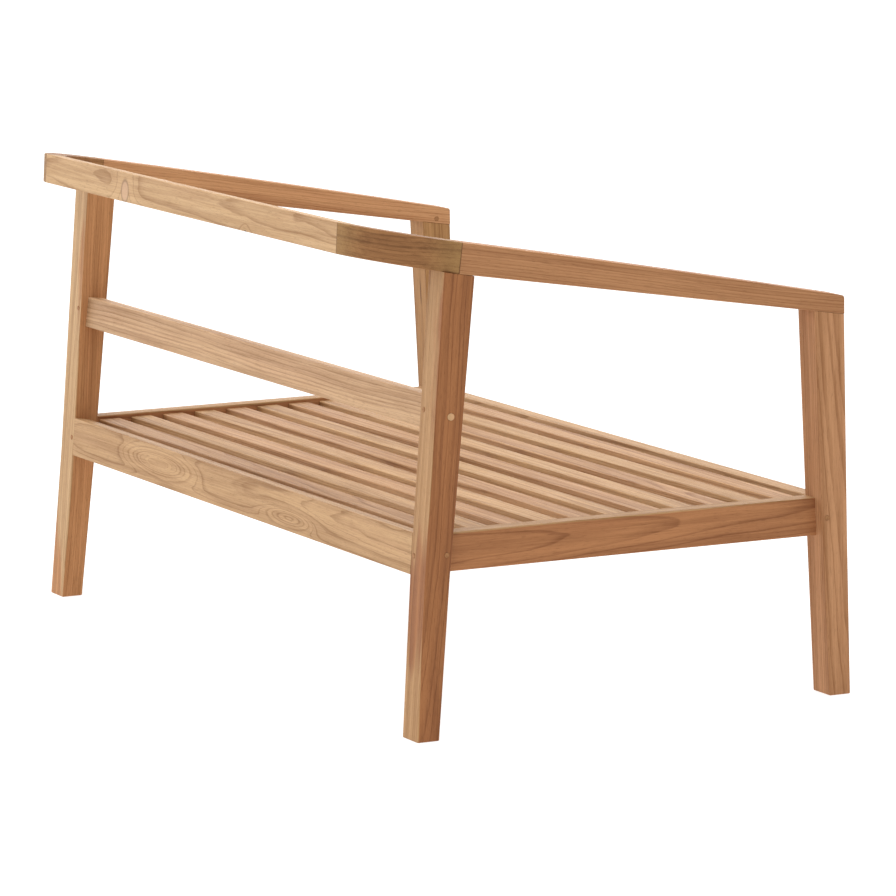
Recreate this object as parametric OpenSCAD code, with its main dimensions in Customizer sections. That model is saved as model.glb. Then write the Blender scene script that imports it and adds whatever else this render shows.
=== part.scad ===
// Teak garden bench frame: two-seat outdoor bench with a slatted seat, tapered legs and a
// sloping top ring that joins both arms to the back rail through curved corner blocks.
// Millimetres, +Z up, origin on the floor at the middle of the footprint.
// -Y is the front of the bench, +X is its right-hand side seen from the front camera axis.

/* [Overall] */
// Width across the outer faces of the posts, above the splayed feet
frame_w = 1294; // [1100:2:1600]
// Overall depth, front foot to the lower back edge of the top rail
frame_d = 726.9; // [700:0.1:750]
// Width of every post along X, also the thickness of the arms
post_w = 47.5; // [44:0.5:56]

/* [Rear posts] */
// Back face of the rear post at the floor, measured back from the centre
rear_foot_y = 316; // [305:0.1:320]
// Depth of the rear post at the floor
rear_foot_depth = 32.9; // [28:0.1:36]
// Forward lean of the back face in degrees
rear_back_lean = 4.84; // [4.5:0.01:5.5]
// Forward lean of the front face in degrees
rear_front_lean = 6.01; // [5.7:0.01:6.6]
// Sideways splay of the rear foot at the floor
rear_splay = 8.5; // [0:0.5:14]

/* [Front posts] */
// Depth of the front post at the floor
front_foot_depth = 33; // [28:0.1:36]
// Backward lean of the front face in degrees
front_face_lean = 0.76; // [0.2:0.01:1]
// Backward lean of the back face in degrees
front_back_lean = 2.27; // [1.5:0.01:2.6]
// Sideways splay of the front foot at the floor
front_splay = 2; // [0:0.5:6]

/* [Top ring] */
// Backward rise of the ring plane in degrees
ring_tilt = 10.25; // [9.5:0.05:11]
// Forward lean of the back rail and of the corner blocks' round faces, in degrees
ring_lean = 3.7; // [0:0.1:8]
// Forward lean of the joint between arm and corner block in degrees
joint_lean = 7.6; // [4:0.1:10]
// Thickness of the ring square to its plane
ring_h = 42.9; // [40:0.1:46]
// Run of each corner block along the arm and along the back rail
corner_run = 127.5; // [110:0.5:140]
// Angle through which the round faces of a corner block turn, in degrees
corner_turn = 70; // [50:1:89]
// Height of the top edge at the joint between arm and corner block
joint_z = 677; // [670:0.1:690]
// Thickness of the back top rail, front to back
back_rail_t = 30; // [26:1:40]
// Height of the arm top at its front end
arm_front_z = 564.5; // [560:0.5:575]
// Height of the arm at its front end
arm_front_h = 26; // [24:0.5:30]
// Front end of the arm, behind the foremost edge of the front foot
arm_setback = 6.6; // [3:0.1:9]
// Rise of the crowned arm top above a straight line
arm_crown = 1.7; // [0.5:0.1:3]
// Radius of the upper front edge of the arm
arm_nose_r = 4.5; // [2:0.5:7]

/* [Back rail] */
// Height of the upper back edge of the middle back rail
mid_rail_z = 466; // [440:1:490]
// Position of the upper back edge of the middle back rail
mid_rail_y = 264.8; // [262:0.1:267]
// Height of the middle back rail
mid_rail_h = 45.7; // [40:0.1:48]
// Thickness of the middle back rail
mid_rail_t = 26; // [24:0.5:27]
// Forward tilt of the middle back rail in degrees
mid_rail_tilt = 7.4; // [6:0.1:8]

/* [Seat] */
// Height of the upper face of the side rails
seat_z = 280; // [275:1:290]
// Height of a side rail
side_rail_h = 53.6; // [51:0.1:56]
// Thickness of a side rail
side_rail_t = 28; // [26:0.5:30]
// Step from the outer post face in to the side rail
side_rail_inset = 19.5; // [17:0.5:22]
// Height of the rear seat rail at its back face
rear_rail_h = 57.9; // [53:0.1:60]
// Fall of the rear seat rail top towards the slats
rear_rail_fall = 4.5; // [3:0.1:5]
// Thickness of the rear and front seat rails
cross_rail_t = 26; // [25:0.5:27]
// Height of the front seat rail
front_rail_h = 50; // [48:0.5:52]
// Step from the side rail top down to the slats
slat_drop = 5; // [4:0.5:6]
// Number of slats is eleven; width of each slat
slat_w = 34; // [30:0.5:36]
// Thickness of each slat
slat_t = 18; // [16:0.5:20]
// Distance between slat centres
slat_pitch = 53.55; // [52:0.05:54]
// Gap between the front rail and the first slat behind it
front_gap = 17.5; // [12:0.5:20]

/* [Hidden] */
$fn = 48;
half_w = frame_w / 2;
inner_w = half_w - post_w;
post_mid_x = half_w - post_w / 2;
front_y = -frame_d / 2;
sprung_z = seat_z - side_rail_h;
lean_rise = tan(ring_tilt - ring_lean);
lean_drop = ring_h / cos(ring_tilt - ring_lean);
back_low_w = corner_run * lean_rise - lean_drop;
joint_y = frame_d / 2 - corner_run * cos(ring_lean) + back_low_w * sin(ring_lean);
joint_drop = ring_h / cos(ring_tilt - joint_lean);
corner_x = half_w - corner_run;
corner_inner_x = corner_run - post_w;
corner_inner_v = corner_run - back_rail_t;
arm_front_y = front_y + arm_setback;
arm_top_rise = (joint_z - arm_front_z) / (joint_y - arm_front_y);
ring_low_y = joint_y + joint_drop * sin(joint_lean);
ring_low_z = joint_z - joint_drop * cos(joint_lean);
arm_low_front_z = arm_front_z - arm_front_h;
arm_low_rise = (ring_low_z - arm_low_front_z) / (ring_low_y - arm_front_y);
arm_past = 6;
arm_run = joint_y - arm_front_y + arm_past;
crown_steps = 16;
slat_n = 11;
slat_z = seat_z - slat_drop;
slat_clear = 1;
side_outer_x = half_w - side_rail_inset;
side_inner_x = side_outer_x - side_rail_t;
front_rail_y = front_y + 2.7;
front_rail_back_y = front_rail_y + cross_rail_t;
front_rail_z = slat_z - front_rail_h;
first_slat_y = front_rail_back_y + front_gap + slat_w / 2;
rear_rail_z = seat_z - rear_rail_h;

// Tenons: cross rails run along X, side rails along Y
tenon_t = 10;
side_tenon_x = side_outer_x - side_rail_t / 2;
side_tenon_low = seat_z - 44;
side_tenon_high = seat_z - 10;
side_tenon_front = 18;
side_tenon_rear = 14;
cross_tenon_len = 20;
cross_tenon_low = 234;
cross_tenon_high = 266;
rear_tenon_y = rear_front_y(250) + 23;
front_tenon_y = front_y + 14.2;
mid_tenon_y = rear_front_y(445) + 18;
mid_tenon_low = mid_rail_z - 35;
mid_tenon_high = mid_rail_z - 9;
mid_tenon_t = 12;
mid_tenon_len = 22;
arm_tenon_w = 24;
arm_tenon_d = 30;
arm_tenon_top = arm_front_z - 8;
arm_tenon_y = (front_face_y(arm_low_front_z) + front_back_y(arm_low_front_z)) / 2;

// Pegs, plugs, screws and dowels
peg_d = 7;
peg_proud = 0.4;
side_peg_in = 7.5;
side_peg_z = 253;
cross_peg_z = 249;
cross_peg_in = 8;
mid_peg_z = mid_rail_z - 17.5;
mid_peg_in = 10;
plug_d = 10;
plug_len = 8;
mid_screw_z = mid_rail_z - 24.5;
mid_screw_d = 4.5;
mid_screw_head = 9;
mid_screw_len = 55;
screw_d = 4;
screw_head = 8;
screw_len = 32;
arm_peg_z = arm_low_front_z + arm_low_rise * (arm_tenon_y - arm_front_y) + 7.5;
dowel_d = 8;
dowel_len = 40;
post_dowel_len = 34;
post_dowel_up = 16;

// Slat supports
cleat_w = 20;
cleat_h = 20;
cleat_z = slat_z - slat_t - cleat_h;
cleat_front_y = front_back_y(cleat_z + cleat_h) + 1;
cleat_rear_y = rear_front_y(cleat_z + cleat_h) - 4;
cleat_x = side_inner_x - cleat_w;
bearer_w = 44;
bearer_h = 24;
bearer_z = slat_z - slat_t - bearer_h;
bearer_tenon_w = 24;
bearer_tenon_h = 12;
bearer_tenon_len = 10;
bearer_tenon_z = bearer_z + 6;

teak = [0.75, 0.56, 0.38];
teak_dark = [0.62, 0.43, 0.27];
teak_pale = [0.82, 0.66, 0.48];
steel = [0.72, 0.73, 0.75];

// Faces of the posts at height z
function rear_back_y(z) = rear_foot_y - z * tan(rear_back_lean);
function rear_front_y(z) = rear_foot_y - rear_foot_depth - z * tan(rear_front_lean);
function front_face_y(z) = front_y + z * tan(front_face_lean);
function front_back_y(z) = front_y + front_foot_depth + z * tan(front_back_lean);

// Underside of the arm and of the ring at depth y
function arm_low_z(y) = arm_low_front_z + arm_low_rise * (y - arm_front_y);
function ring_plane_z(y) = ring_low_z + (y - ring_low_y) * tan(ring_tilt);

// Crowned top of the arm: s runs from 0 at the front end to 1 just past the corner block joint
function arm_top_y(s) = arm_front_y + s * arm_run;
function arm_top_z(s) = arm_front_z + s * arm_run * arm_top_rise + 4 * arm_crown * s * (1 - s);

// Centre of slat i, counted from the rear
function slat_y(i) = first_slat_y + (slat_n - i) * slat_pitch;

// Right-hand piece, or its mirror image for the left
module side(s)
{
    mirror([s < 0 ? 1 : 0, 0, 0])
        children();
}

// Profile drawn in the Y-Z plane, extruded along X from x0 to x1
module along_x(x0, x1)
{
    translate([x0, 0, 0])
        rotate([90, 0, 90])
            linear_extrude(x1 - x0)
                children();
}

// Round bar along X
module bar_x(x0, x1, y, z, d)
{
    translate([x0, y, z])
        rotate([0, 90, 0])
            cylinder(h = x1 - x0, d = d);
}

// Round bar along Y
module bar_y(x, y0, y1, z, d)
{
    translate([x, y0, z])
        rotate([-90, 0, 0])
            cylinder(h = y1 - y0, d = d);
}

// Coordinates at the top edge of the arm joint, turned about X by an angle in degrees
module joint_frame(angle)
{
    translate([0, joint_y, joint_z])
        rotate([angle, 0, 0])
            children();
}

// Slab between the upper and the lower plane of the ring
module ring_slab()
{
    joint_frame(ring_tilt)
        translate([-half_w - 5, -30, -ring_h])
            cube([2 * half_w + 10, 190, ring_h]);
}

// Half-space on one side of the joint between arm and corner block: s = 1 behind, -1 in front
module joint_side(s)
{
    joint_frame(joint_lean)
        translate([inner_w - 5, s > 0 ? 0 : -60, -80])
            cube([post_w + 10, 60, 110]);
}

// Countersunk screw pointing along +Z with its head at the origin and a square drive recess
module wood_screw(len, d, head)
{
    difference()
    {
        union()
        {
            cylinder(h = (head - d) / 2, d1 = head, d2 = d);
            cylinder(h = len, d = d);
        }
        translate([-head / 7, -head / 7, -1])
            cube([head / 3.5, head / 3.5, 2.4]);
    }
}

// Space taken by a screw of the same size
module screw_bore(len, d, head)
{
    cylinder(h = (head - d) / 2, d1 = head, d2 = d);
    cylinder(h = len, d = d);
}

// Post outline seen from the front: upright above the seat rails, splayed below
module post_front_outline(splay, top)
{
    polygon([[inner_w, top], [half_w, top], [half_w, sprung_z],
        [half_w + splay, 0], [inner_w + splay, 0], [inner_w, sprung_z]]);
}

// Tenon of a cross rail on its right-hand end
module cross_tenon(y_mid, t, z0, z1, len)
{
    translate([inner_w - 5, y_mid - t / 2, z0])
        cube([len + 5, t, z1 - z0]);
}

module side_tenon_block_front()
{
    translate([side_tenon_x - tenon_t / 2, front_back_y(250) - side_tenon_front, side_tenon_low])
        cube([tenon_t, side_tenon_front + 8, side_tenon_high - side_tenon_low]);
}

module side_tenon_block_rear()
{
    translate([side_tenon_x - tenon_t / 2, rear_front_y(250) - 8, side_tenon_low])
        cube([tenon_t, side_tenon_rear + 8, side_tenon_high - side_tenon_low]);
}

module rear_rail_tenon()
{
    cross_tenon(rear_tenon_y, tenon_t, cross_tenon_low, cross_tenon_high, cross_tenon_len);
}

module front_rail_tenon()
{
    cross_tenon(front_tenon_y, tenon_t, cross_tenon_low, cross_tenon_high, cross_tenon_len);
}

module mid_rail_tenon()
{
    cross_tenon(mid_tenon_y, mid_tenon_t, mid_tenon_low, mid_tenon_high, mid_tenon_len);
}

// Stub tenon that stands on the front post inside the arm
module arm_tenon()
{
    translate([post_mid_x - arm_tenon_w / 2, arm_tenon_y - arm_tenon_d / 2, arm_low_front_z - 20])
        cube([arm_tenon_w, arm_tenon_d, arm_tenon_top - arm_low_front_z + 20]);
}

// Pegs of the right-hand half
module side_pegs_x()
{
    rear_y = rear_front_y(side_peg_z) + side_peg_in;
    front_peg_y = front_back_y(side_peg_z) - side_peg_in;
    bar_x(inner_w + 1.4, half_w + peg_proud, rear_y, side_peg_z, peg_d);
    bar_x(inner_w + 1.4, half_w + peg_proud, front_peg_y, side_peg_z, peg_d);
}

module rear_rail_peg()
{
    back = rear_back_y(cross_peg_z) + peg_proud;
    bar_y(inner_w + cross_peg_in, rear_tenon_y - 7, back, cross_peg_z, peg_d);
}

module mid_rail_peg()
{
    back = rear_back_y(mid_peg_z) + peg_proud;
    bar_y(inner_w + mid_peg_in, mid_tenon_y - 9, back, mid_peg_z, peg_d);
}

module front_rail_peg()
{
    face = front_face_y(cross_peg_z) - peg_proud;
    bar_y(inner_w + cross_peg_in, face, front_tenon_y + 7, cross_peg_z, peg_d);
}

module arm_peg()
{
    bar_x(inner_w - peg_proud, inner_w + post_w - 8, arm_tenon_y, arm_peg_z, peg_d);
}

// Screw through the rear post into the end of the middle rail
module mid_screw_place()
{
    translate([half_w - plug_len, mid_tenon_y + 1, mid_screw_z])
        rotate([0, -90, 0])
            children();
}

module plug_place()
{
    bar_x(half_w - plug_len, half_w + peg_proud, mid_tenon_y + 1, mid_screw_z, plug_d);
}

// Dowel across the joint between arm and corner block, inset from the outer face
module arm_joint_dowel(inset)
{
    joint_frame(joint_lean)
        bar_y(half_w - inset, -dowel_len / 2, dowel_len / 2, -ring_h / 2, dowel_d);
}

// Dowel across the joint between corner block and back rail, at a share of the ring thickness
module back_joint_dowel(depth)
{
    mid_v = corner_run - back_rail_t / 2;
    mid_w = mid_v * lean_rise - lean_drop * depth;
    joint_frame(ring_lean)
        bar_x(corner_x - dowel_len / 2, corner_x + dowel_len / 2, mid_v, mid_w, dowel_d);
}

// Upright dowel between the rear post and the ring
module post_dowel(v)
{
    joint_frame(ring_tilt)
        translate([post_mid_x, v, -ring_h - post_dowel_len + post_dowel_up])
            cylinder(h = post_dowel_len, d = dowel_d);
}

module rear_post()
{
    difference()
    {
        intersection()
        {
            along_x(inner_w - 30, half_w + 30)
                polygon([[rear_front_y(0), 0], [rear_back_y(0), 0],
                    [rear_back_y(640), ring_plane_z(rear_back_y(640))],
                    [rear_front_y(632), ring_plane_z(rear_front_y(632))]]);
            translate([0, rear_foot_y + 60, 0])
                rotate([90, 0, 0])
                    linear_extrude(260)
                        post_front_outline(rear_splay, joint_z);
        }
        side_tenon_block_rear();
        rear_rail_tenon();
        mid_rail_tenon();
        side_pegs_x();
        rear_rail_peg();
        mid_rail_peg();
        plug_place();
        mid_screw_place()
            screw_bore(mid_screw_len, mid_screw_d, mid_screw_head);
        post_dowel(-17);
        post_dowel(7);
    }
}

module front_post()
{
    difference()
    {
        union()
        {
            intersection()
            {
                along_x(inner_w - 30, half_w + 30)
                    polygon([[front_face_y(0), 0], [front_back_y(0), 0],
                        [front_back_y(548), arm_low_z(front_back_y(548))],
                        [front_face_y(541), arm_low_z(front_face_y(541))]]);
                translate([0, front_y + 120, 0])
                    rotate([90, 0, 0])
                        linear_extrude(180)
                            post_front_outline(front_splay, arm_front_z + 30);
            }
            arm_tenon();
        }
        side_tenon_block_front();
        front_rail_tenon();
        side_pegs_x();
        front_rail_peg();
        arm_peg();
    }
}

// Arm: wedge-shaped side profile, crowned top, rounded front edge, square rear joint
module arm_profile()
{
    nose_y = arm_front_y + arm_nose_r;
    nose_z = arm_top_z(arm_nose_r / arm_run) - arm_nose_r;
    low_past_y = ring_low_y + arm_past;
    polygon(concat(
        [[arm_front_y, arm_low_front_z]],
        [for (a = [180:-15:105]) [nose_y + arm_nose_r * cos(a), nose_z + arm_nose_r * sin(a)]],
        [for (i = [1:crown_steps]) [arm_top_y(i / crown_steps), arm_top_z(i / crown_steps)]],
        [[low_past_y, arm_low_z(low_past_y)]]));
}

module arm()
{
    difference()
    {
        along_x(inner_w, half_w)
            arm_profile();
        joint_side(1);
        arm_tenon();
        arm_peg();
        arm_joint_dowel(14);
        arm_joint_dowel(33);
        post_dowel(-17);
    }
}

// Upright cylinder whose surface passes through (x, 0) and (0, v) and turns by corner_turn between
module round_core(x, v, h)
{
    chord = sqrt(x * x + v * v);
    radius = chord / (2 * sin(corner_turn / 2));
    back_off = radius * cos(corner_turn / 2) / chord;
    translate([x / 2 - v * back_off, v / 2 - x * back_off, -h / 2 - 15])
        cylinder(h = h, r = radius, $fn = 180);
}

// Corner block: round outside and inside, cut to the ring's thickness
module corner_block()
{
    difference()
    {
        intersection()
        {
            ring_slab();
            joint_frame(ring_lean)
                translate([corner_x, 0, 0])
                    round_core(corner_run, corner_run, 150);
            joint_frame(ring_lean)
                translate([corner_x, 0, -90])
                    cube([corner_run + 1, corner_run + 1, 150]);
        }
        joint_frame(ring_lean)
            translate([corner_x, 0, 0])
                round_core(corner_inner_x, corner_inner_v, 160);
        joint_side(-1);
        arm_joint_dowel(14);
        arm_joint_dowel(33);
        back_joint_dowel(0.28);
        back_joint_dowel(0.72);
        post_dowel(7);
    }
}

module back_top_rail()
{
    color(teak)
        difference()
        {
            intersection()
            {
                ring_slab();
                joint_frame(ring_lean)
                    translate([-corner_x, corner_inner_v, -90])
                        cube([2 * corner_x, back_rail_t, 150]);
            }
            for (s = [-1, 1])
                side(s)
                {
                    back_joint_dowel(0.28);
                    back_joint_dowel(0.72);
                }
        }
}

module back_mid_rail()
{
    color(teak)
        difference()
        {
            union()
            {
                translate([-inner_w, mid_rail_y, mid_rail_z])
                    rotate([mid_rail_tilt, 0, 0])
                        translate([0, -mid_rail_t, -mid_rail_h])
                            cube([2 * inner_w, mid_rail_t, mid_rail_h]);
                for (s = [-1, 1])
                    side(s)
                        mid_rail_tenon();
            }
            for (s = [-1, 1])
                side(s)
                {
                    mid_rail_peg();
                    mid_screw_place()
                        screw_bore(mid_screw_len, mid_screw_d, mid_screw_head);
                }
        }
}

module seat_rear_rail()
{
    low_back = rear_back_y(rear_rail_z);
    high_back = rear_back_y(seat_z);
    inner_top_z = seat_z - rear_rail_fall;
    inner_top_y = high_back - cross_rail_t;
    inner_low_y = inner_top_y + (inner_top_z - rear_rail_z) * tan(rear_back_lean);
    color(teak)
        difference()
        {
            union()
            {
                along_x(-inner_w, inner_w)
                    polygon([[low_back, rear_rail_z], [high_back, seat_z],
                        [inner_top_y, inner_top_z], [inner_low_y, rear_rail_z]]);
                for (s = [-1, 1])
                    side(s)
                        rear_rail_tenon();
            }
            for (s = [-1, 1])
                side(s)
                    rear_rail_peg();
            bearer_tenons();
        }
}

module seat_front_rail()
{
    color(teak)
        difference()
        {
            union()
            {
                translate([-inner_w, front_rail_y, front_rail_z])
                    cube([2 * inner_w, cross_rail_t, front_rail_h]);
                for (s = [-1, 1])
                    side(s)
                        front_rail_tenon();
            }
            for (s = [-1, 1])
                side(s)
                    front_rail_peg();
            bearer_tenons();
        }
}

module seat_side_rail()
{
    difference()
    {
        union()
        {
            along_x(side_inner_x, side_outer_x)
                polygon([[front_back_y(sprung_z), sprung_z], [rear_front_y(sprung_z), sprung_z],
                    [rear_front_y(seat_z), seat_z], [front_back_y(seat_z), seat_z]]);
            side_tenon_block_front();
            side_tenon_block_rear();
        }
        side_pegs_x();
        cleat_screw_set()
            screw_bore(screw_len, screw_d, screw_head);
    }
}

module slat(i)
{
    length = 2 * (side_inner_x - slat_clear);
    color(i % 2 == 0 ? teak : teak_pale)
        difference()
        {
            translate([-length / 2, slat_y(i) - slat_w / 2, slat_z - slat_t])
                cube([length, slat_w, slat_t]);
            slat_screw_row(i)
                screw_bore(screw_len, screw_d, screw_head);
        }
}

// Screw positions under slat i: both cleats and the centre bearer
module slat_screw_row(i)
{
    for (x = [-cleat_x - cleat_w / 2, 0, cleat_x + cleat_w / 2])
        translate([x, slat_y(i), cleat_z])
            children();
}

// Screws that fix the right-hand cleat to its side rail
module cleat_screw_set()
{
    for (i = [1, 4, 7, 10])
        translate([cleat_x, slat_y(i) - slat_pitch / 2, cleat_z + cleat_h / 2])
            rotate([0, 90, 0])
                children();
}

module slat_cleat()
{
    difference()
    {
        translate([cleat_x, cleat_front_y, cleat_z])
            cube([cleat_w, cleat_rear_y - cleat_front_y, cleat_h]);
        cleat_screw_set()
            screw_bore(screw_len, screw_d, screw_head);
        for (i = [1:slat_n])
            slat_screw_row(i)
                screw_bore(screw_len, screw_d, screw_head);
    }
}

// Stub tenons on both ends of the centre bearer
module bearer_tenons()
{
    rear_y = rear_back_y(bearer_z) - cross_rail_t;
    translate([-bearer_tenon_w / 2, front_rail_back_y - bearer_tenon_len, bearer_tenon_z])
        cube([bearer_tenon_w, bearer_tenon_len + 5, bearer_tenon_h]);
    translate([-bearer_tenon_w / 2, rear_y - 5, bearer_tenon_z])
        cube([bearer_tenon_w, bearer_tenon_len + 5, bearer_tenon_h]);
}

module seat_centre_bearer()
{
    top = bearer_z + bearer_h;
    low_y = rear_back_y(bearer_z) - cross_rail_t;
    high_y = rear_back_y(top) - cross_rail_t;
    color(teak_dark)
        difference()
        {
            union()
            {
                along_x(-bearer_w / 2, bearer_w / 2)
                    polygon([[front_rail_back_y, bearer_z], [low_y, bearer_z],
                        [high_y, top], [front_rail_back_y, top]]);
                bearer_tenons();
            }
            for (i = [1:slat_n])
            {
                slat_screw_row(i)
                    screw_bore(screw_len, screw_d, screw_head);
                translate([0, slat_y(i), bearer_z - 1])
                    cylinder(h = bearer_h - cleat_h + 1, d = screw_head);
            }
        }
}

module rear_post_side(s)
{
    color(teak)
        side(s)
            rear_post();
}

module front_post_side(s)
{
    color(teak)
        side(s)
            front_post();
}

module corner_block_side(s)
{
    color(teak_dark)
        side(s)
            corner_block();
}

module arm_side(s)
{
    color(teak)
        side(s)
            arm();
}

module seat_side_rail_side(s)
{
    color(teak)
        side(s)
            seat_side_rail();
}

module slat_cleat_side(s)
{
    color(teak_dark)
        side(s)
            slat_cleat();
}

module tenon_pegs()
{
    color(teak_dark)
        for (s = [-1, 1])
            side(s)
            {
                side_pegs_x();
                rear_rail_peg();
                mid_rail_peg();
                front_rail_peg();
                arm_peg();
            }
}

module screw_plugs()
{
    color(teak_pale)
        for (s = [-1, 1])
            side(s)
                plug_place();
}

module mid_rail_screws()
{
    color(steel)
        for (s = [-1, 1])
            side(s)
                mid_screw_place()
                    wood_screw(mid_screw_len, mid_screw_d, mid_screw_head);
}

module ring_dowels()
{
    color(teak_pale)
        for (s = [-1, 1])
            side(s)
            {
                arm_joint_dowel(14);
                arm_joint_dowel(33);
                back_joint_dowel(0.28);
                back_joint_dowel(0.72);
            }
}

module post_top_dowels()
{
    color(teak_pale)
        for (s = [-1, 1])
            side(s)
            {
                post_dowel(-17);
                post_dowel(7);
            }
}

module slat_screws()
{
    color(steel)
        for (i = [1:slat_n])
            slat_screw_row(i)
                wood_screw(screw_len, screw_d, screw_head);
}

module cleat_screws()
{
    color(steel)
        for (s = [-1, 1])
            side(s)
                cleat_screw_set()
                    wood_screw(screw_len, screw_d, screw_head);
}

rear_post_side(-1);  // rear_post_left
rear_post_side(1);  // rear_post_right
front_post_side(-1);  // front_post_left
front_post_side(1);  // front_post_right
back_top_rail();
corner_block_side(-1);  // corner_block_left
corner_block_side(1);  // corner_block_right
arm_side(-1);  // arm_left
arm_side(1);  // arm_right
back_mid_rail();
seat_rear_rail();
seat_front_rail();
seat_side_rail_side(-1);  // seat_side_rail_left
seat_side_rail_side(1);  // seat_side_rail_right
slat(1);  // slat_01
slat(2);  // slat_02
slat(3);  // slat_03
slat(4);  // slat_04
slat(5);  // slat_05
slat(6);  // slat_06
slat(7);  // slat_07
slat(8);  // slat_08
slat(9);  // slat_09
slat(10);  // slat_10
slat(11);  // slat_11
slat_cleat_side(-1);  // slat_cleat_left
slat_cleat_side(1);  // slat_cleat_right
seat_centre_bearer();
tenon_pegs();
screw_plugs();
mid_rail_screws();
ring_dowels();
post_top_dowels();
slat_screws();
cleat_screws();
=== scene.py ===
import math

import bmesh
import bpy
from mathutils import Matrix, Vector


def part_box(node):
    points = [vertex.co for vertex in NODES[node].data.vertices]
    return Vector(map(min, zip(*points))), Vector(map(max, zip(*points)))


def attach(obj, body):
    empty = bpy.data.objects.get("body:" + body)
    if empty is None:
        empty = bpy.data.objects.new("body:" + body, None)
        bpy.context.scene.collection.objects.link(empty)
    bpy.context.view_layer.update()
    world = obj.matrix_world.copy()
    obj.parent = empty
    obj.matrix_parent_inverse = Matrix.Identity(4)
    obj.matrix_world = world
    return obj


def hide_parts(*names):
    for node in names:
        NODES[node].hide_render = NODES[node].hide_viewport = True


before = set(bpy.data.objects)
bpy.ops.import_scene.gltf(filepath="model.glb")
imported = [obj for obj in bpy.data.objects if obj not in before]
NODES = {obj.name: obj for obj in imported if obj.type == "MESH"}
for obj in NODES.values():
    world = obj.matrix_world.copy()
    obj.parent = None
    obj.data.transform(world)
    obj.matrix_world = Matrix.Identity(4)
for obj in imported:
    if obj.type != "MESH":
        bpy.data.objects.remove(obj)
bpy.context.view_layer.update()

# ---------------------------------------------------------------- the photograph's viewpoint

# Camera place in metres and its turn, dip and roll in degrees
CAMERA_AT = Vector((-7.5623, 3.6316, 1.6099))
CAMERA_TURN = 25.99
CAMERA_DIP = 8.94
CAMERA_ROLL = -0.74
CAMERA_FIELD = 8.878


def make_camera():
    """A long lens from the rear left corner, slightly above the top ring."""
    turn, dip, roll = (math.radians(v) for v in (CAMERA_TURN, CAMERA_DIP, CAMERA_ROLL))
    ahead = Vector((
        math.cos(turn) * math.cos(dip),
        -math.sin(turn) * math.cos(dip),
        -math.sin(dip),
    ))
    level = Vector((-math.sin(turn), -math.cos(turn), 0.0))
    upright = level.cross(ahead)
    right = math.cos(roll) * level + math.sin(roll) * upright
    up = math.cos(roll) * upright - math.sin(roll) * level
    data = bpy.data.cameras.new("camera")
    data.angle = math.radians(CAMERA_FIELD)
    data.clip_start, data.clip_end = 0.1, 200.0
    camera = bpy.data.objects.new("camera", data)
    camera.matrix_world = Matrix((
        (right.x, up.x, -ahead.x, CAMERA_AT.x),
        (right.y, up.y, -ahead.y, CAMERA_AT.y),
        (right.z, up.z, -ahead.z, CAMERA_AT.z),
        (0.0, 0.0, 0.0, 1.0),
    ))
    bpy.context.scene.collection.objects.link(camera)
    bpy.context.scene.camera = camera


# ---------------------------------------------------------------- light and floor

def soft_light(name, place, aim, width, height, watts):
    """Rectangular softbox at place, facing aim."""
    data = bpy.data.lights.new(name, "AREA")
    data.shape = "RECTANGLE"
    data.size, data.size_y = width, height
    data.energy = watts
    light = bpy.data.objects.new(name, data)
    light.location = place
    light.rotation_mode = "QUATERNION"
    light.rotation_quaternion = (Vector(aim) - Vector(place)).to_track_quat("-Z", "Y")
    bpy.context.scene.collection.objects.link(light)


def make_studio():
    """White surroundings, softboxes on the far side and overhead, and a glowing white floor."""
    scene = bpy.context.scene
    scene.view_settings.view_transform = "Standard"
    world = bpy.data.worlds.new("studio")
    world.use_nodes = True
    world.node_tree.nodes["Background"].inputs["Color"].default_value = (1, 1, 1, 1)
    world.node_tree.nodes["Background"].inputs["Strength"].default_value = 0.52
    scene.world = world
    soft_light("key", (10.4, 6.4, 3.4), (0.0, 0.1, 0.35), 8.0, 5.0, 620.0)
    soft_light("card", (10.6, -5.6, 3.3), (0.0, 0.0, 0.35), 10.0, 4.4, 520.0)
    soft_light("top", (-0.6, 0.6, 5.6), (0.0, 0.0, 0.3), 4.4, 4.0, 260.0)

    mesh = bpy.data.meshes.new("floor")
    half = 60.0
    corners = [(-half, -half, 0), (half, -half, 0), (half, half, 0), (-half, half, 0)]
    mesh.from_pydata(corners, [], [(0, 1, 2, 3)])
    floor = bpy.data.objects.new("floor", mesh)
    floor.location.z = -0.0005
    scene.collection.objects.link(floor)
    material = bpy.data.materials.new("floor_paper")
    material.use_nodes = True
    shader = material.node_tree.nodes["Principled BSDF"]
    shader.inputs["Base Color"].default_value = (0.42, 0.42, 0.42, 1)
    shader.inputs["Roughness"].default_value = 0.9
    shader.inputs["Specular IOR Level"].default_value = 0.1
    shader.inputs["Emission Color"].default_value = (1, 1, 1, 1)
    shader.inputs["Emission Strength"].default_value = 0.80
    mesh.materials.append(material)


# ---------------------------------------------------------------- node trees

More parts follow.
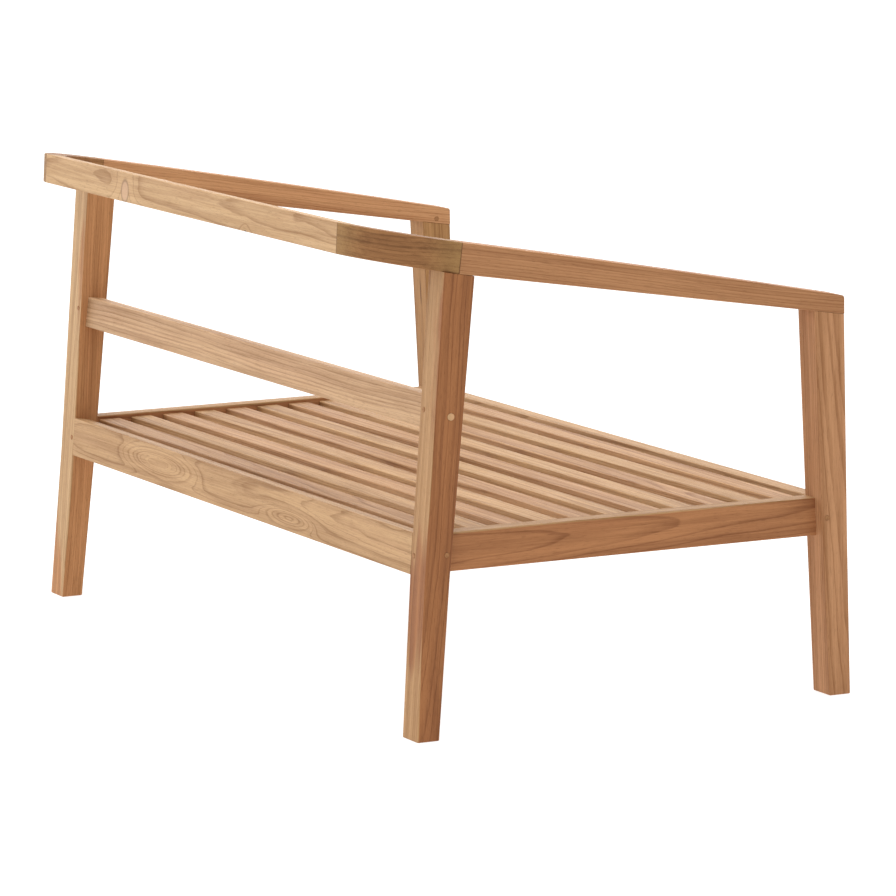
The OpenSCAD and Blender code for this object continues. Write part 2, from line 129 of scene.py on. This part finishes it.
class Graph:
    """Short names for the shader nodes that the wood is built from."""

    def __init__(self, name):
        self.material = bpy.data.materials.new(name)
        self.material.use_nodes = True
        self.tree = self.material.node_tree
        self.shader = self.tree.nodes["Principled BSDF"]

    def node(self, kind, **values):
        made = self.tree.nodes.new(kind)
        for key, value in values.items():
            setattr(made, key, value)
        return made

    def feed(self, socket, value):
        """Links value to the socket, or sets it when it is a plain number, vector or colour."""
        if isinstance(value, bpy.types.NodeSocket):
            self.tree.links.new(value, socket)
        elif value is not None:
            socket.default_value = value

    def math(self, operation, a, b=None, clamp=False):
        made = self.node("ShaderNodeMath", operation=operation, use_clamp=clamp)
        self.feed(made.inputs[0], a)
        self.feed(made.inputs[1], b)
        return made.outputs[0]

    def vector(self, operation, a, b=None):
        made = self.node("ShaderNodeVectorMath", operation=operation)
        self.feed(made.inputs[0], a)
        self.feed(made.inputs[1], b)
        single = operation in ("DOT_PRODUCT", "LENGTH")
        return made.outputs["Value" if single else "Vector"]

    def noise(self, vector, detail, roughness, colour=False):
        made = self.node("ShaderNodeTexNoise", noise_dimensions="3D")
        self.feed(made.inputs["Vector"], vector)
        made.inputs["Scale"].default_value = 1.0
        made.inputs["Detail"].default_value = detail
        made.inputs["Roughness"].default_value = roughness
        return made.outputs["Color" if colour else "Fac"]

    def noise_line(self, place, detail):
        """Noise along a single number."""
        made = self.node("ShaderNodeTexNoise", noise_dimensions="1D")
        self.feed(made.inputs["W"], place)
        made.inputs["Scale"].default_value = 1.0
        made.inputs["Detail"].default_value = detail
        return made.outputs["Fac"]

    def stretch(self, vector, along, across, shift):
        """The board's coordinates scaled for a noise: along the grain and across it."""
        drawn = self.vector("MULTIPLY", vector, (along, across, across))
        return self.vector("ADD", drawn, (shift, shift * 0.37, shift * 1.71))

    def span(self, value, low, high, to_low=0.0, to_high=1.0, smooth=True):
        """value from low..high onto to_low..to_high, held at the ends."""
        made = self.node("ShaderNodeMapRange", clamp=True)
        made.interpolation_type = "SMOOTHSTEP" if smooth else "LINEAR"
        for socket, number in zip(made.inputs, (value, low, high, to_low, to_high)):
            self.feed(socket, number)
        return made.outputs[0]

    def mix(self, share, a, b):
        made = self.node("ShaderNodeMix", data_type="RGBA")
        self.feed(made.inputs[0], share)
        self.feed(made.inputs[6], a)
        self.feed(made.inputs[7], b)
        return made.outputs[2]


def linear(red, green, blue):
    """A display colour, 0 to 255, as a linear colour."""
    def one(v):
        v /= 255.0
        return v / 12.92 if v <= 0.04045 else ((v + 0.055) / 1.055) ** 2.4
    return (one(red), one(green), one(blue), 1.0)


def scaled(colour, factors):
    """A linear colour with its red, green and blue multiplied."""
    return tuple(c * k for c, k in zip(colour[:3], factors)) + (1.0,)


def board_axes(grain):
    """Rotation of a board: its first axis runs along the grain."""
    along = Vector(grain).normalized()
    if abs(along.z) > 0.8:
        across = Vector((1, 0, 0)) - along * along.x
    else:
        across = Vector((0, 0, 1)).cross(along)
    across.normalize()
    third = along.cross(across)
    return Matrix((along, across, third)).transposed()


def oval(graph, board, centre, reach):
    """1 at centre, falling to 0 at about twice reach: a bell in three directions."""
    away = graph.vector("SUBTRACT", board, centre)
    inverse = tuple(1.0 / r for r in reach)
    steps = graph.vector("MULTIPLY", away, inverse)
    squared = graph.vector("DOT_PRODUCT", steps, steps)
    return graph.math("EXPONENT", graph.math("MULTIPLY", squared, -1.0))


# Growth of the wood: how far a board strays inside the log, and how strongly each layer shows
WANDER = 0.016
RIPPLE = 0.0022
RING_STRENGTH = 0.8
FIBRE_STRENGTH = 0.8
PORE_STRENGTH = 0.38
SEAM_STRENGTH = 0.7
SEAM_WIDTH = 0.0010
# painted light: blend width at the edge of the paler skin on the most lit faces
PAINTED_LIGHT_BLEND = 0.001


def teak(name, grain, colours, seed, pith, slant=(0.0, 0.0), ring=0.0045,
         figures=(), knots=(), tints=(), sap=None, seams=()):
    """Solid teak for node name: rings round a pith outside the board, fibres, pores and knots.

    colours are the pale and the deep tone. pith is the place of the log's middle across the
    board, slant how far it drifts per metre along the grain, and ring the width of one ring. A
    figure is (centre, reach, lift): a local swelling of the rings. A knot is (centre, reach,
    colour, lift), and a tint (centre, reach, colour, share) colours a patch. Centres are in the
    board's own axes, in metres. sap is (start, colours): a paler skin past start on the
    board's third axis, painted light on the face that the lamps light most. A seam is (point,
    normal): the fine dark line of a joint, in the bench's axes.
    """
    pale, deep = colours
    g = Graph(name + "_teak")
    places = g.node("ShaderNodeTexCoord").outputs["Object"]
    turn = g.node("ShaderNodeMapping", vector_type="TEXTURE")
    g.feed(turn.inputs["Vector"], places)
    turn.inputs["Location"].default_value = middle(name)
    turn.inputs["Rotation"].default_value = board_axes(grain).to_euler("XYZ")
    board = turn.outputs[0]

    # the board's middle line wanders a little inside the log
    wander = g.noise(g.stretch(board, 1.6, 7.0, seed), 2.0, 0.5, colour=True)
    wander = g.vector("SUBTRACT", wander, (0.5, 0.5, 0.5))
    wander = g.vector("MULTIPLY", wander, (0.0, WANDER, WANDER))
    ripple = g.noise(g.stretch(board, 9.0, 60.0, seed + 3.1), 2.0, 0.55, colour=True)
    ripple = g.vector("SUBTRACT", ripple, (0.5, 0.5, 0.5))
    ripple = g.vector("MULTIPLY", ripple, (0.0, RIPPLE, RIPPLE))
    bent = g.vector("ADD", g.vector("ADD", board, wander), ripple)

    # distance from the pith
    split = g.node("ShaderNodeSeparateXYZ")
    g.feed(split.inputs[0], bent)
    along, across, third = split.outputs
    side_a = g.math("SUBTRACT", g.math("ADD", across, g.math("MULTIPLY", along, slant[0])), pith[0])
    side_b = g.math("SUBTRACT", g.math("ADD", third, g.math("MULTIPLY", along, slant[1])), pith[1])
    squares = g.math("ADD", g.math("MULTIPLY", side_a, side_a), g.math("MULTIPLY", side_b, side_b))
    radius = g.math("SQRT", squares)
    for centre, reach, lift in figures:
        radius = g.math("ADD", radius, g.math("MULTIPLY", oval(g, board, centre, reach), lift))
    for centre, reach, _, lift in knots:
        wide = tuple(2.4 * r for r in reach)
        radius = g.math("ADD", radius, g.math("MULTIPLY", oval(g, board, centre, wide), lift))

    # rings of uneven width, each with a thin dark edge
    count = g.math("DIVIDE", radius, ring)
    uneven = g.noise_line(g.math("ADD", g.math("MULTIPLY", count, 0.55), seed), 2.0)
    count = g.math("ADD", count, g.math("MULTIPLY", uneven, 1.4))
    phase = g.math("FRACT", count)
    edge = g.math("MULTIPLY", g.span(phase, 0.62, 0.94), g.span(phase, 0.94, 1.0, 1.0, 0.0))
    band = g.noise_line(g.math("ADD", g.math("MULTIPLY", count, 0.33), seed * 1.7), 1.0)
    ring_tone = g.math("ADD", g.math("MULTIPLY", edge, 0.65), g.span(band, 0.35, 0.65, 0.0, 0.35))

    # fibres, fine and coarse, the short dark pores, and warm and cool patches
    coarse = g.noise(g.stretch(bent, 2.2, 95.0, seed + 7.7), 3.0, 0.6)
    fine = g.noise(g.stretch(bent, 9.0, 520.0, seed + 1.9), 3.0, 0.6)
    pores = g.noise(g.stretch(bent, 75.0, 1900.0, seed + 5.3), 1.0, 0.5)
    pores = g.span(pores, 0.60, 0.72)
    fibre = g.math("ADD", g.span(coarse, 0.3, 0.7, 0.0, 0.6), g.span(fine, 0.3, 0.7, 0.0, 0.4))
    patch = g.noise(g.stretch(board, 3.0, 22.0, seed + 11.0), 3.0, 0.55)

    # colour from pale to deep
    tone = g.math("ADD", g.math("MULTIPLY", ring_tone, RING_STRENGTH),
                  g.math("MULTIPLY", fibre, FIBRE_STRENGTH))
    tone = g.math("ADD", tone, g.span(patch, 0.25, 0.75, -0.40, -0.08, smooth=False), clamp=True)
    rosy = scaled(pale, (1.02, 0.93, 0.96))
    dark = scaled(deep, (0.45, 0.45, 0.45))
    colour = g.mix(tone, pale, deep)
    colour = g.mix(g.span(patch, 0.45, 0.75, 0.0, 0.35), colour, g.mix(tone, rosy, deep))
    # painted light: past start on the board's third axis, the lit face gets a paler skin
    if sap:
        start, (sap_pale, sap_deep) = sap
        colour = g.mix(g.span(third, start, start + PAINTED_LIGHT_BLEND), colour,
                       g.mix(tone, sap_pale, sap_deep))
    for centre, reach, tint, share in tints:
        colour = g.mix(g.math("MULTIPLY", oval(g, bent, centre, reach), share), colour,
                       g.mix(g.math("MULTIPLY", tone, 0.5), tint, deep))
    colour = g.mix(g.math("MULTIPLY", pores, PORE_STRENGTH), colour, dark)
    for centre, reach, knot_colour, _ in knots:
        near = oval(g, bent, centre, reach)
        rim = g.math("MULTIPLY", g.span(near, 0.30, 0.48), g.span(near, 0.48, 0.66, 1.0, 0.0))
        colour = g.mix(g.span(near, 0.36, 0.60, 0.0, 0.8), colour, knot_colour)
        colour = g.mix(g.math("MULTIPLY", rim, 0.5), colour, dark)
    for point, normal in seams:
        away = g.vector("DOT_PRODUCT", g.vector("SUBTRACT", places, point), normal)
        line = g.span(g.math("ABSOLUTE", away), 0.0002, SEAM_WIDTH, SEAM_STRENGTH, 0.0)
        colour = g.mix(line, colour, dark)

    # a dry, nearly matt surface whose pores and ring edges lie a little lower
    relief = g.math("SUBTRACT", g.math("MULTIPLY", fine, 0.5), g.math("MULTIPLY", pores, 0.6))
    relief = g.math("SUBTRACT", relief, g.math("MULTIPLY", edge, 0.25))
    bump = g.node("ShaderNodeBump")
    bump.inputs["Strength"].default_value = 0.35
    bump.inputs["Distance"].default_value = 0.0004
    g.feed(bump.inputs["Height"], relief)
    g.feed(g.shader.inputs["Base Color"], colour)
    g.feed(g.shader.inputs["Roughness"],
           g.math("ADD", g.span(fine, 0.25, 0.75, 0.60, 0.72), g.math("MULTIPLY", pores, 0.1)))
    g.shader.inputs["Specular IOR Level"].default_value = 0.25
    g.shader.inputs["Specular Tint"].default_value = (1.0, 0.95, 0.88, 1.0)
    g.feed(g.shader.inputs["Normal"], bump.outputs[0])
    return g.material


def steel(name):
    """Brushed stainless steel of the hidden screws."""
    g = Graph(name)
    places = g.node("ShaderNodeTexCoord").outputs["Object"]
    scratch = g.noise(g.vector("MULTIPLY", places, (900.0, 900.0, 120.0)), 3.0, 0.6)
    g.feed(g.shader.inputs["Base Color"],
           g.mix(scratch, linear(168, 170, 172), linear(205, 206, 208)))
    g.shader.inputs["Metallic"].default_value = 1.0
    g.feed(g.shader.inputs["Roughness"], g.span(scratch, 0.3, 0.7, 0.22, 0.42))
    return g.material


# ---------------------------------------------------------------- wooden pieces

# Easing of the long edges, of the slats' edges and of the peg holes' rims, in metres
SOFT_EDGE = 0.0015
SLAT_EDGE = 0.0018
RIM_EDGE = 0.0005
# Edge lengths that tell a hole's rim, a step of a round edge and a long edge apart
RIM_STEP = 0.0009
CURVE_STEP = 0.025
LONG_EDGE = 0.012
# Least angle between the faces of an edge that is eased, in degrees
SHARP_ANGLE = 30.0
# Least cosine between a long edge and the grain, and greatest rise of a round edge's step
ALIGNED = 0.94
UPRIGHT = 0.9


def sharp(edge):
    return len(edge.link_faces) == 2 and edge.calc_face_angle(0.0) > math.radians(SHARP_ANGLE)


def pick_edges(mesh, along, ends, curved):
    """The edges to ease and the edges of peg holes' rims."""
    eased, rims = [], []
    for edge in mesh.edges:
        if not sharp(edge):
            continue
        a, b = (v.co for v in edge.verts)
        length = (b - a).length
        if length < RIM_STEP:
            rims.append(edge)
        elif curved:
            if length < CURVE_STEP and abs(b.z - a.z) < UPRIGHT * length:
                eased.append(edge)
        elif length > LONG_EDGE and abs((b - a).normalized().dot(along)) > ALIGNED:
            eased.append(edge)
        elif ends and ends(a) and ends(b):
            eased.append(edge)
    return eased, rims


def shape_piece(name, grain, ends=None, soft=SOFT_EDGE, curved=False):
    """Copy of a CAD node with its long edges eased and the rims of its peg holes broken.

    grain is the direction of the long edges. ends(point) is true on the exposed ends, whose edges
    are eased too; tenon shoulders and joints stay crisp. A curved piece is eased along the short
    steps of its round edges instead.
    """
    work = bmesh.new()
    work.from_mesh(NODES[name].data)
    bmesh.ops.remove_doubles(work, verts=work.verts, dist=2e-6)
    bmesh.ops.dissolve_limit(work, angle_limit=math.radians(0.15), use_dissolve_boundaries=False,
                             verts=work.verts, edges=work.edges, delimit={"NORMAL"})
    eased, rims = pick_edges(work, Vector(grain).normalized(), ends, curved)
    if rims:
        bmesh.ops.bevel(work, geom=rims, offset=RIM_EDGE, segments=1, affect="EDGES",
                        clamp_overlap=False, offset_type="OFFSET")
        eased = [e for e in eased if e.is_valid]
    bmesh.ops.bevel(work, geom=eased, offset=soft, segments=3, profile=0.5,
                    affect="EDGES", clamp_overlap=False, offset_type="OFFSET")
    mesh = bpy.data.meshes.new(name + "_wood")
    work.to_mesh(mesh)
    work.free()
    mesh.shade_smooth()
    mesh.set_sharp_from_angle(angle=math.radians(35))
    piece = bpy.data.objects.new(name + "_wood", mesh)
    bpy.context.scene.collection.objects.link(piece)
    normals = piece.modifiers.new("normals", "WEIGHTED_NORMAL")
    normals.keep_sharp = True
    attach(piece, "root")
    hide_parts(name)
    return piece


def middle(name):
    low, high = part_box(name)
    return (low + high) / 2


def finish_piece(piece, material):
    piece.data.materials.clear()
    piece.data.materials.append(material)


def wooden(name, slot, grain, colours, seed, pith, ends=None, soft=SOFT_EDGE, curved=False,
           **growth):
    """Stands an eased piece of teak in the place of a CAD node."""
    piece = shape_piece(name, grain, ends, soft, curved)
    finish_piece(piece, teak(name, grain, colours, seed, pith, **growth))


# Pale and deep tone of each kind of board
PLAIN = linear(195, 156, 113), linear(151, 111, 72)
MID = linear(201, 163, 124), linear(157, 118, 82)
SLAT = linear(189, 149, 105), linear(144, 103, 62)
ROSE = linear(186, 143, 101), linear(142, 98, 60)
SIDE = linear(178, 122, 79), linear(134, 84, 50)
ARM = linear(183, 132, 90), linear(144, 95, 59)
# painted light: the far arm's tones are lighter than the near arm's, standing in for the light on
# its inner face
FAR_ARM = linear(200, 149, 104), linear(158, 107, 68)
POST = linear(164, 108, 66), linear(124, 75, 43)
# painted light: paler tones for the lit rear face of the near rear post
PAINTED_LIGHT_REAR = linear(184, 142, 98), linear(154, 112, 71)
FRONT = linear(190, 139, 98), linear(148, 100, 62)
# painted shade: the far front post's tones are darker than the near front post's, for the shade of
# the arms on it
FAR_POST = linear(180, 136, 88), linear(142, 101, 60)
# painted light: the far rear post's tones are lighter, standing in for the light on its inner face
AMBER = linear(192, 138, 92), linear(150, 101, 61)
OLIVE = linear(159, 112, 70), linear(112, 73, 42)
BACK = linear(201, 164, 121), linear(157, 117, 77)
PEG = linear(168, 120, 78), linear(138, 94, 58)
PLUG = linear(208, 162, 118), PLAIN[0]
# Single tones
# painted light: paler olive for the lighter ends of the corner blocks' curved outer faces
OLIVE_PAINTED_LIGHT = linear(160, 124, 76)
KNOT_PALE = linear(198, 160, 128)
KNOT_DARK = linear(84, 54, 34)

LENGTHWISE = (1, 0, 0)
FRONT_TO_BACK = (0, 1, 0)
# Lean of the rear posts' rear faces, tilt of the top ring and lean of its front joints, in degrees
REAR_FACE_LEAN = 4.84
RING_TILT = 10.25
JOINT_LEAN = 7.6
# Height of the ring's upper face at its front joints, in metres
JOINT_TOP = 0.677
# Depth of the painted light, a paler and yellower skin, on the rear posts' rear faces and on the
# side rails' upper faces
POST_LIGHT_SKIN = 0.0015
RAIL_LIGHT_SKIN = 0.0025
SLATS = 11


def make_posts():
    """The four posts; the rear ones have a paler skin painted on their rear faces as painted light.
    """
    rear_lean = Vector((0, -math.tan(math.radians(REAR_FACE_LEAN)), 1))
    front_lean = Vector((0, 0.021, 1))

    def foot(point):
        return point.z < 0.001

    streak = ((Vector((0.155, 0.0, 0.0)), (0.024, 0.0018, 0.05), KNOT_DARK, 0.002),)
    # name, grain, colours, seed, pith, colours of the painted light on the rear face, knots
    table = (
        ("rear_post_left", rear_lean, POST, 3.7, (0.07, 0.05), PAINTED_LIGHT_REAR, ()),
        ("rear_post_right", rear_lean, AMBER, 14.2, (-0.06, 0.07), BACK, ()),
        ("front_post_left", front_lean, FRONT, 25.9, (0.08, -0.04), None, ()),
        ("front_post_right", front_lean, FAR_POST, 31.4, (-0.07, -0.05), None, streak),
    )
    for name, grain, colours, seed, pith, painted_rear_light, knots in table:
        piece = shape_piece(name, grain, foot)
        sap = None
        if painted_rear_light:
            backward = board_axes(grain).col[2]
            skin = max((v.co - middle(name)).dot(backward) for v in piece.data.vertices)
            # painted light: a thin paler skin on the rear face, for the light that falls on it
            sap = (skin - POST_LIGHT_SKIN, painted_rear_light)
        finish_piece(piece, teak(
            name, grain, colours, seed, pith, slant=(0.012, -0.018), ring=0.0042, sap=sap,
            knots=knots))


def make_ring():
    """Back top rail, arms and corner blocks, with the dark lines of their joints."""

    def arm_front(point):
        return point.y < -0.350

    slope = math.tan(math.radians(RING_TILT))
    lean = math.radians(JOINT_LEAN)
    front_joint = (Vector((0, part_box("corner_block_left")[0].y, JOINT_TOP)),
                   Vector((0, math.cos(lean), math.sin(lean))))
    rail_end = -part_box("back_top_rail")[0].x
    # painted light: both ends of each corner block are tinted paler, as light falls on its curved
    # face
    painted_light_ends = tuple((Vector((end, 0, 0)), (0.030, 0.2, 0.2), OLIVE_PAINTED_LIGHT, 0.75)
                       for end in (-0.086, 0.086))
    wooden("back_top_rail", "ring_wood", LENGTHWISE, BACK, 41.3, (-0.075, 0.01),
           slant=(0.012, 0.015), ring=0.0040,
           knots=((Vector((0.214, 0.016, 0.000)), (0.015, 0.03, 0.019), KNOT_PALE, 0.010),
                  (Vector((-0.219, 0.016, -0.018)), (0.006, 0.03, 0.005), KNOT_DARK, 0.006)))
    for side, hand, colours, seed in ((-1, "left", ARM, 52.8), (1, "right", FAR_ARM, 63.1)):
        back_joint = (Vector((side * rail_end, 0, 0)), Vector(LENGTHWISE))
        wooden("arm_" + hand, "ring_wood", Vector((0, 1, 0.19)), colours, seed, (0.02, 0.07),
               ends=arm_front, slant=(0.02, 0.03), seams=(front_joint,))
        wooden("corner_block_" + hand, "ring_wood", Vector((-side, 1, slope)), OLIVE, seed + 5.5,
               (0.01, -0.12), curved=True, slant=(0.02, 0.04), ring=0.0060, tints=painted_light_ends,
               seams=(front_joint, back_joint))


def make_rails():
    """Seat frame and middle back rail; two oval figures mark the rear rail."""
    figures = (
        (Vector((0.272, 0.013, 0.004)), (0.105, 0.06, 0.016), 0.024),
        (Vector((-0.205, 0.013, -0.009)), (0.080, 0.06, 0.012), 0.018),
    )
    wooden("seat_rear_rail", "rail_wood", LENGTHWISE, PLAIN, 71.7, (-0.085, 0.0),
           slant=(0.008, 0.01), ring=0.0030, figures=figures)
    wooden("back_mid_rail", "rail_wood", LENGTHWISE, MID, 82.2, (-0.05, 0.05),
           slant=(0.01, 0.012), ring=0.0042)
    wooden("seat_front_rail", "rail_wood", LENGTHWISE, PLAIN, 93.6, (0.06, 0.03),
           slant=(0.01, 0.012), ring=0.0042)
    for name, seed in (("seat_side_rail_left", 104.4), ("seat_side_rail_right", 115.9)):
        low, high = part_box(name)
        top = (high.z - low.z) / 2
        # painted light: the side rails' upper faces get a paler skin in the slats' tones, for the
        # light on them
        wooden(name, "rail_wood", FRONT_TO_BACK, SIDE, seed, (0.07, 0.01), slant=(0.03, 0.02),
               ring=0.0048, sap=(top - RAIL_LIGHT_SKIN, SLAT))


def make_slats():
    """Eleven slats of two tones in turn, counted from the rear."""
    low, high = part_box("slat_01")

    def ends(point):
        return point.x < low.x + 1e-4 or point.x > high.x - 1e-4

    for i in range(1, SLATS + 1):
        name = "slat_%02d" % i
        pith = (0.05 * math.cos(i * 1.9), -0.05 - 0.02 * math.sin(i))
        wooden(name, "slat_wood", LENGTHWISE, (SLAT, ROSE)[i % 2], 130.0 + 9.7 * i, pith,
               ends=ends, soft=SLAT_EDGE, slant=(0.006 * math.sin(i * 2.4), 0.01), ring=0.0040)


def make_supports():
    """The hidden cleats and bearer under the slats."""
    for name, seed in (("slat_cleat_left", 251.0), ("slat_cleat_right", 263.0),
                       ("seat_centre_bearer", 277.0)):
        wooden(name, "support_wood", FRONT_TO_BACK, SIDE, seed, (0.06, 0.04))


def make_fixings():
    """Pegs, plugs and dowels show end grain; screws are steel."""
    table = (
        ("tenon_pegs", LENGTHWISE, PEG, 301.0),
        ("screw_plugs", (0, 0.2, 1), PLUG, 307.0),
        ("ring_dowels", (0.7, 0.7, 0), PLAIN, 311.0),
        ("post_top_dowels", (0, 0, 1), PLAIN, 317.0),
    )
    for name, grain, colours, seed in table:
        NODES[name].data.materials.clear()
        NODES[name].data.materials.append(
            teak(name, grain, colours, seed, (0.01, 0.02), ring=0.0016))
    metal = steel("screw_steel")
    for name in ("mid_rail_screws", "slat_screws", "cleat_screws"):
        NODES[name].data.materials.clear()
        NODES[name].data.materials.append(metal)


make_camera()
make_studio()
make_posts()
make_ring()
make_rails()
make_slats()
make_supports()
make_fixings()
